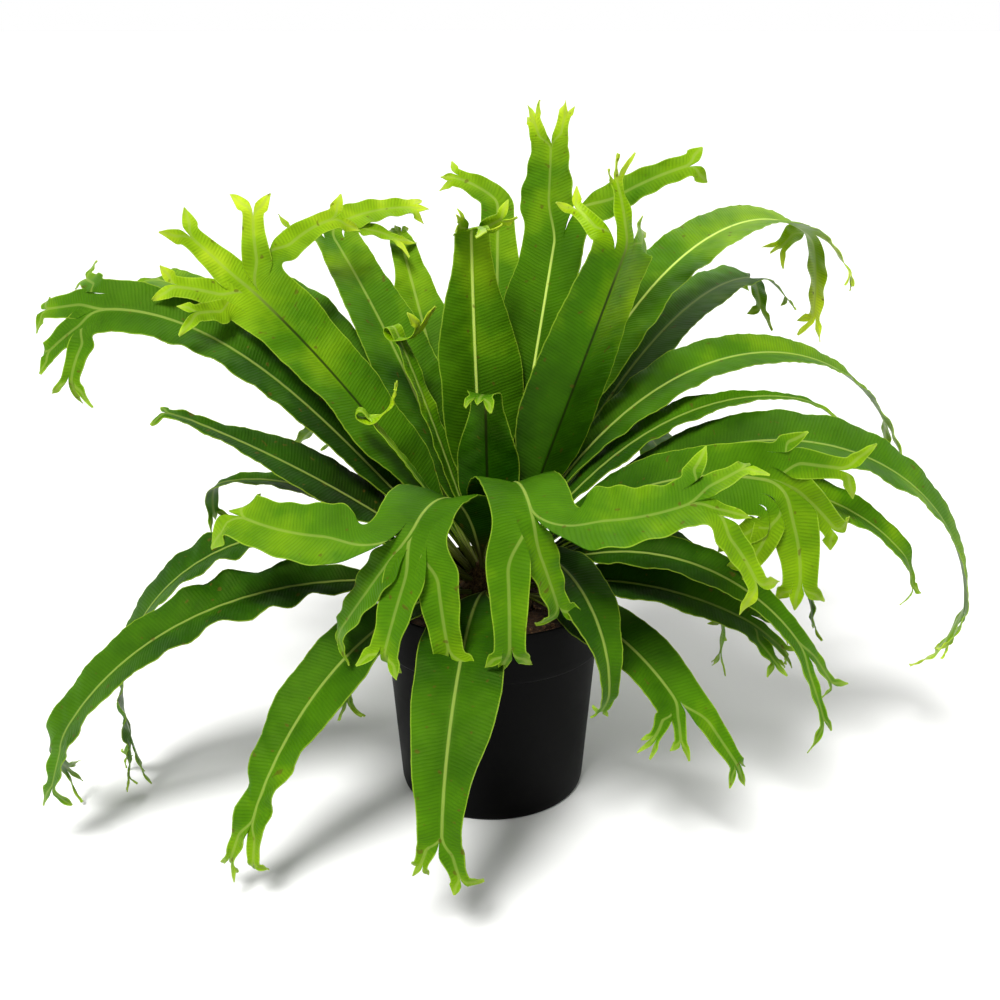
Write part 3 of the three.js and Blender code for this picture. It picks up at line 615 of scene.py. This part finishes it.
GREENS = ((0.0, "#061A00"), (0.3, "#123800"), (0.6, "#336300"), (0.85, "#749A02"), (1.0, "#B4C824"))
UNDER_GREENS = ((0.0, "#0A2000"), (0.3, "#1A4000"), (0.6, "#3C6802"), (0.85, "#769A0A"), (1.0, "#AEC224"))

leaf_upper = leaf_material("waxy_leaf_upper_face", GREENS, 0.24, 0.36, -0.4)
leaf_under = leaf_material("matt_leaf_underside", UNDER_GREENS, 0.18, 0.6, 0.55)


def make_frond(name, frond):
    points, quads, finish, values = closed_leaf(frond_sheet(name, frond))
    values["rib"] = frond.get("rib", 0.25) * (1 - smoothstep(values["crest"], 0.1, 0.5))
    piece = write_mesh(name + "_leaf", points, quads, [leaf_upper, leaf_under], finish, values)
    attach(piece, "root")
    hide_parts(name)
    return piece


# ---- Pot, soil and rootstock ----


def arc(centre, radius, start, stop, count=8):
    """Points [radius, height] on a round corner, from one angle to another in degrees."""
    angle = np.radians(np.linspace(start, stop, count))
    return np.stack([centre[0] + radius * np.cos(angle), centre[1] + radius * np.sin(angle)], -1)


def straight(a, b, count):
    t = np.linspace(0, 1, count + 2)[1:-1, None]
    return np.array(a) * (1 - t) + np.array(b) * t


def turned_grid(profile, steps):
    """The profile carried round Z: a row of points for each profile point, and quads that close up."""
    turn = np.linspace(0, 2 * math.pi, steps + 1)[:-1]
    r, z = profile[:, :1], profile[:, 1:]
    points = np.stack(np.broadcast_arrays(r * np.cos(turn), r * np.sin(turn), z), -1)
    numbers = np.arange(len(profile) * steps).reshape(len(profile), steps)
    wrapped = np.hstack([numbers, numbers[:, :1]])
    a, b = wrapped[:-1, :-1], wrapped[:-1, 1:]
    c, d = wrapped[1:, 1:], wrapped[1:, :-1]
    return points, np.stack([a, b, c, d], -1).reshape(-1, 4)


def sector_of_floor(index, centre_radius, hole, inner, outer, low, high):
    """One sector of the pot's floor round its drain hole.

    A ring of rays goes from the hole's edge to the sector's border, once at each height, and the hole's
    wall joins them. The border is a circle's arc at inner and outer and a straight ray at each side.
    """
    half = math.pi / DRAIN_HOLES
    steps = 10
    across = np.linspace(-half, half, steps + 1)
    out = np.linspace(inner, outer, steps + 1)
    border = np.concatenate([
        np.stack([np.full(steps, outer), across[:-1]], -1),
        np.stack([out[::-1][:-1], np.full(steps, half)], -1),
        np.stack([np.full(steps, inner), across[::-1][:-1]], -1),
        np.stack([out[:-1], np.full(steps, -half)], -1),
    ])
    edge = np.stack([border[:, 0] * np.cos(border[:, 1]), border[:, 0] * np.sin(border[:, 1])], -1)
    toward = unit(edge - [centre_radius, 0])
    ring = [centre_radius, 0] + toward * hole
    between = (edge + ring) / 2
    levels = [(edge, low), (between, low), (ring, low), (ring, high), (between, high), (edge, high)]
    flat = np.stack([np.column_stack([xy, np.full(len(xy), z)]) for xy, z in levels])
    angle = 2 * math.pi * index / DRAIN_HOLES
    cos, sin = math.cos(angle), math.sin(angle)
    return flat @ np.array([[cos, sin, 0], [-sin, cos, 0], [0, 0, 1]])


DRAIN_HOLES = 8
POT_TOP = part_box("nursery_pot")[1]
POT_HEIGHT = POT_TOP.z / MM
RIM_RADIUS = POT_TOP.x / MM
RIM_BAND = 32
BODY_RADIUS = 65
BASE_RADIUS = 57
WALL = 1.6
POT_FLOOR = 2.4
FLOOR_RING = BASE_RADIUS - 5  # where the turned wall's foot meets the sectors of floor
FLOOR_DISC = 34  # radius of the middle disc
HOLE_CIRCLE = 45
HOLE_RADIUS = 4.5
FOOT_ROUND = 2.4
BAND_ROUND = 2.2
LIP_ROUND = 0.8
POLE = 0.01  # radius of a turned shape's first and last rows
SOIL_GAP = 0.7  # to the pot
BARK_CHIPS = 260


def pot_profile():
    """The pot's wall from the floor's outer edge up the outside, over the lip and down the inside."""
    foot = POT_HEIGHT - RIM_BAND
    ring = FLOOR_RING
    body = np.array([BASE_RADIUS + 0.6, 4.5])
    top = np.array([BODY_RADIUS, foot])
    return np.vstack([
        [[ring, 0]],
        straight([ring, 0], [BASE_RADIUS - 2.2, 0], 2),
        arc((BASE_RADIUS - FOOT_ROUND, FOOT_ROUND), FOOT_ROUND, -90, -12),
        [body],
        straight(body, top, 24),
        [top],
        arc((RIM_RADIUS - 3.0, foot + BAND_ROUND), BAND_ROUND, -95, -4),
        straight([RIM_RADIUS - 0.8, foot + 3], [RIM_RADIUS, POT_HEIGHT - 1.6], 10),
        arc((RIM_RADIUS - LIP_ROUND, POT_HEIGHT - LIP_ROUND), LIP_ROUND, 0, 180),
        straight([RIM_RADIUS - WALL, POT_HEIGHT - 1.6], [RIM_RADIUS - WALL - 1.2, foot + 4], 10),
        [[BODY_RADIUS - WALL, foot + 2.4]],
        straight([BODY_RADIUS - WALL, foot], [BASE_RADIUS - WALL, POT_FLOOR + 2], 16),
        arc((BASE_RADIUS - WALL - 2, POT_FLOOR + 2), 2, 0, -90, 5),
        [[ring, POT_FLOOR]],
    ])


def make_pot():
    """A thin moulded pot: the turned wall, eight sectors of floor with a hole each, and a middle disc."""
    wall, wall_quads = turned_grid(pot_profile(), 160)
    blocks, faces = [wall.reshape(-1, 3)], [wall_quads]
    count = len(blocks[0])
    for index in range(DRAIN_HOLES):
        sector = sector_of_floor(index, HOLE_CIRCLE, HOLE_RADIUS, FLOOR_DISC, FLOOR_RING, 0, POT_FLOOR)
        numbers = count + np.arange(sector.shape[0] * sector.shape[1]).reshape(sector.shape[:2])
        wrapped = np.hstack([numbers, numbers[:, :1]])
        quads = np.stack([wrapped[:-1, :-1], wrapped[:-1, 1:], wrapped[1:, 1:], wrapped[1:, :-1]], -1)
        blocks.append(sector.reshape(-1, 3))
        faces.append(quads.reshape(-1, 4))
        count += len(blocks[-1])
    disc = np.vstack([[POLE, 0], straight([0, 0], [FLOOR_DISC, 0], 5), [FLOOR_DISC, 0]])
    for height, way in ((0, 1), (POT_FLOOR, -1)):
        disc_points, disc_quads = turned_grid(disc + [0, height], 80)
        blocks.append(disc_points.reshape(-1, 3))
        faces.append(disc_quads[:, ::way] + count)
        count += len(blocks[-1])
    pot = write_mesh("moulded_pot", np.vstack(blocks), np.vstack(faces), [pot_plastic()], sharp=40)
    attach(pot, "root")
    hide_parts("nursery_pot")


def pot_plastic():
    """Black polypropylene, injection moulded: near black, a dull sheen, fine mould texture, dusty scuffs."""
    material, tree = new_material("moulded_black_polypropylene")
    place = node(tree, "TexCoord", out="Object")
    dust = node(tree, "TexNoise", {"Vector": place, "Scale": 1 / 0.03, "Detail": 5.0, "Roughness": 0.7})
    dusty = node(tree, "MapRange", {0: dust, 1: 0.5, 2: 0.8, 3: 0.0, 4: 0.35})
    base = node(
        tree, "Mix", {0: dusty, 6: colour("#020202"), 7: colour("#0E0D0C")}, out=2, data_type="RGBA")
    rough = node(tree, "Math", {0: dust, 1: 0.2, 2: 0.42}, operation="MULTIPLY_ADD")
    grain = node(tree, "TexNoise", {"Vector": place, "Scale": 1 / 0.0012, "Detail": 2.0})
    banded = node(tree, "Mapping", {"Vector": place, "Scale": (6, 6, 260)})  # flow rings 4 mm apart
    rings = node(tree, "TexNoise", {"Vector": banded, "Scale": 1.0, "Detail": 1.0})
    fine = node(tree, "Math", {0: grain, 1: 0.35}, operation="MULTIPLY")
    relief = node(tree, "Math", {0: rings, 1: 0.6, 2: fine}, operation="MULTIPLY_ADD")
    bump = node(tree, "Bump", {"Height": relief, "Strength": 0.35, "Distance": 0.0003})
    shader = node(tree, "BsdfPrincipled", {
        "Base Color": base, "Roughness": rough, "Normal": bump, "IOR": 1.49, "Specular IOR Level": 0.06,
    })
    node(tree, "OutputMaterial", {"Surface": shader})
    return material


def lumpy(points, rng, sizes):
    """A height from sums of sines with random directions, one group for each [length, depth] in mm."""
    total = np.zeros(points.shape[:-1])
    for length, depth in sizes:
        for _ in range(5):
            way = unit(rng.normal(size=3))
            phase = rng.uniform(0, FULL_TURN)
            total = total + depth / 2 * np.sin(points @ way * 2 * math.pi / length + phase)
    return total


def earth(name, stops, lump):
    """Peat, bark or rootstock, damp: dark fibrous crumbs of lump metres, with no shine."""
    material, tree = new_material(name)
    place = node(tree, "TexCoord", out="Object")
    crumb = node(tree, "TexVoronoi", {"Vector": place, "Scale": 1 / lump}, out="Distance")
    fibre = node(tree, "TexNoise", {"Vector": place, "Scale": 2 / lump, "Detail": 6.0})
    fibrous = node(tree, "Math", {0: fibre, 1: 0.7}, operation="MULTIPLY")
    both = node(tree, "Math", {0: crumb, 1: 0.5, 2: fibrous}, operation="MULTIPLY_ADD")
    base = node(tree, "ValToRGB", {0: both}, stops=stops)
    bump = node(tree, "Bump", {"Height": both, "Strength": 0.9, "Distance": 0.001})
    shader = node(tree, "BsdfPrincipled", {
        "Base Color": base, "Roughness": 0.95, "Normal": bump, "Specular IOR Level": 0.2,
    })
    node(tree, "OutputMaterial", {"Surface": shader})
    return material


def make_soil():
    """The soil's surface is lumpy and sits in the pot; crumbs of bark lie on it."""
    rng = seeded("soil")
    wall = BODY_RADIUS - WALL - SOIL_GAP
    low = POT_FLOOR + SOIL_GAP
    profile = np.vstack([
        [[POLE, low]],
        straight([0, low], [BASE_RADIUS - WALL - 1, low], 3),
        [[BASE_RADIUS - WALL - 1, low]],
        straight([BASE_RADIUS - WALL - 1, low], [wall, SOIL_TOP - 4], 12),
        arc((wall - 2, SOIL_TOP - 5), 2, 0, 80, 4),
        straight([wall - 2.5, SOIL_TOP - 2.8], [0, SOIL_TOP - 0.5], 48),
        [[POLE, SOIL_TOP - 0.5]],
    ])
    points, quads = turned_grid(profile, 120)
    top = smoothstep(points[..., 2], SOIL_TOP - 8, SOIL_TOP - 4) * smoothstep(
        wall - np.hypot(points[..., 0], points[..., 1]), -0.5, 3)
    points[..., 2] += top * lumpy(points, rng, [[14, 0.7], [6, 0.5], [2.6, 0.35]])
    points[..., 2] = np.minimum(points[..., 2], SOIL_TOP + 1.5)
    damp = earth("damp_peat_mix", ((0.15, "#120B06"), (0.5, "#2A1B10"), (0.9, "#4A3521")), 0.003)
    soil = write_mesh("peat_soil", points.reshape(-1, 3), quads, [damp])
    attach(soil, "root")
    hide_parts("potting_soil")
    make_bark(rng, wall)


def make_bark(rng, wall):
    """Chips of bark on the soil: small lumps, each a squashed ball of 6 by 8 faces."""
    count = BARK_CHIPS
    radius = np.sqrt(rng.uniform(20 ** 2, (wall - 4) ** 2, count))
    angle = rng.uniform(0, 2 * math.pi, count)
    size = rng.uniform(0.9, 3.2, (count, 1)) * rng.uniform(0.45, 1.0, (count, 3))
    size[:, 2] *= 0.6
    ball, quads = turned_grid(arc((0.02, 0), 1, -89, 89, 7), 8)
    ball = ball.reshape(-1, 3)
    spin = rng.uniform(0, 2 * math.pi, count)
    local = ball[None] * size[:, None] * (1 + 0.18 * rng.normal(size=(count, len(ball), 1)).clip(-1, 1))
    x = local[..., 0] * np.cos(spin)[:, None] - local[..., 1] * np.sin(spin)[:, None]
    y = local[..., 0] * np.sin(spin)[:, None] + local[..., 1] * np.cos(spin)[:, None]
    height = SOIL_TOP - 0.5 - 2.6 * radius / wall
    points = np.stack([
        x + (radius * np.cos(angle))[:, None], y + (radius * np.sin(angle))[:, None],
        local[..., 2] + height[:, None],
    ], -1)
    numbers = (quads[None] + (np.arange(count) * len(ball))[:, None, None]).reshape(-1, 4)
    bark = earth("broken_bark_chips", ((0.1, "#20140B"), (0.5, "#4B3420"), (0.9, "#8A6B48")), 0.002)
    chips = write_mesh("bark_chips", points.reshape(-1, 3), numbers, [bark])
    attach(chips, "root")


def make_rootstock():
    """The crown: a blunt cone with old stalk bases as scales, r * (1 + bulge / r).

    bulge is 1.3 * saw(9 turns + height / 7.5) * saw(height / 5 - 0.8 angle), with small lumps.
    """
    rng = seeded("rootstock")
    foot = CROWN_LOW.z / MM
    profile = np.vstack([
        [[POLE, foot]],
        [[CROWN_FOOT_RADIUS - 1.5, foot]],
        straight([CROWN_FOOT_RADIUS - 1, foot + 1], [CROWN_TOP_RADIUS, CROWN_HIGH.z / MM - 1.5], 40),
        straight([CROWN_TOP_RADIUS, CROWN_HIGH.z / MM - 1.5], [0, CROWN_HIGH.z / MM - 0.2], 6),
        [[POLE, CROWN_HIGH.z / MM - 0.2]],
    ])
    points, quads = turned_grid(profile, 120)
    turn = np.arctan2(points[..., 1], points[..., 0])
    high = points[..., 2] - foot
    scale = np.mod(turn / (2 * math.pi) * 9 + high / 7.5, 1) * np.mod(high / 5 - turn * 0.8, 1)
    radius = np.hypot(points[..., 0], points[..., 1])
    inside = smoothstep(high, 0.5, 3) * smoothstep(radius, 1, 6)
    bulge = (1.3 * scale + lumpy(points, rng, [[5, 0.5], [2, 0.4]])) * inside / np.maximum(radius, 1)
    points[..., :2] *= (1 + bulge)[..., None]
    scaly = earth("scaly_brown_rootstock", ((0.1, "#150D07"), (0.5, "#33220F"), (0.9, "#5E4826")), 0.0016)
    crown = write_mesh("scaly_rootstock", points.reshape(-1, 3), quads, [scaly])
    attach(crown, "root")
    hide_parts("rootstock")


# ---- Floor, light and camera ----


def make_floor():
    """A wide pale floor, two rings of quads with radii in mm."""
    steps = 96
    radii = (50, 40000, 0.5)
    turn = np.linspace(0, 2 * math.pi, steps + 1)[:-1]
    ring = np.stack([np.cos(turn), np.sin(turn), np.zeros_like(turn)], -1)
    points = np.vstack([ring * radius for radius in radii])
    here = np.arange(steps)
    following = (here + 1) % steps
    quads = np.stack([here, here + steps, following + steps, following], -1)
    inner = np.stack([here + 2 * steps, here, following, following + 2 * steps], -1)
    material, tree = new_material("matt_painted_floor")
    shader = node(tree, "BsdfPrincipled", {"Base Color": colour("#DEDEDC"), "Roughness": 0.8})
    node(tree, "OutputMaterial", {"Surface": shader})
    floor = write_mesh("floor", points, np.vstack([quads, inner]), [material])


def soft_sun(name, azimuth, elevation, strength, spread):
    """A wide soft light from far away. Azimuth turns from +X towards +Y; spread is its angle in degrees."""
    light = bpy.data.lights.new(name, "SUN")
    light.energy = strength
    light.angle = math.radians(spread)
    made = bpy.data.objects.new(name, light)
    bpy.context.scene.collection.objects.link(made)
    made.rotation_euler = (math.radians(90 - elevation), 0, math.radians(azimuth + 90))


def make_studio():
    """A dim dome that is white from the horizon to a fifth of its height, and three soft lights."""
    world = bpy.data.worlds.new("pale_studio")
    bpy.context.scene.world = world
    world.use_nodes = True
    tree = world.node_tree
    tree.nodes.clear()
    direction = node(tree, "TexCoord", out="Generated")
    height = node(tree, "SeparateXYZ", {0: direction}, out="Z")
    size = node(tree, "Math", {0: height}, operation="ABSOLUTE")
    strength = node(
        tree, "MapRange", {0: size, 1: 0.31, 2: 0.45, 3: 1.0, 4: 0.05}, interpolation_type="SMOOTHSTEP")
    glow = node(tree, "Background", {"Color": colour("#FFFFFF"), "Strength": strength})
    node(tree, "OutputWorld", {"Surface": glow})
    soft_sun("key", -115, 58, 4.8, 22)
    soft_sun("fill", -20, 40, 0.4, 60)
    soft_sun("back", 80, 50, 1.5, 40)
    bpy.context.scene.view_settings.view_transform = "Standard"


def make_camera():
    """Level with the crown and a little above, looking down 20 degrees at 0.8 m."""
    camera = bpy.data.objects.new("camera", bpy.data.cameras.new("camera"))
    bpy.context.scene.collection.objects.link(camera)
    camera.data.sensor_width = 36
    camera.data.lens = 48
    camera.location = (0.0049, -0.7518, 0.4606)
    camera.rotation_euler = (math.radians(70), 0, 0)
    bpy.context.scene.camera = camera


make_camera()
make_studio()
make_floor()
make_pot()
make_soil()
make_rootstock()
for frond_name, frond_shape in FRONDS.items():
    make_frond(frond_name, frond_shape)
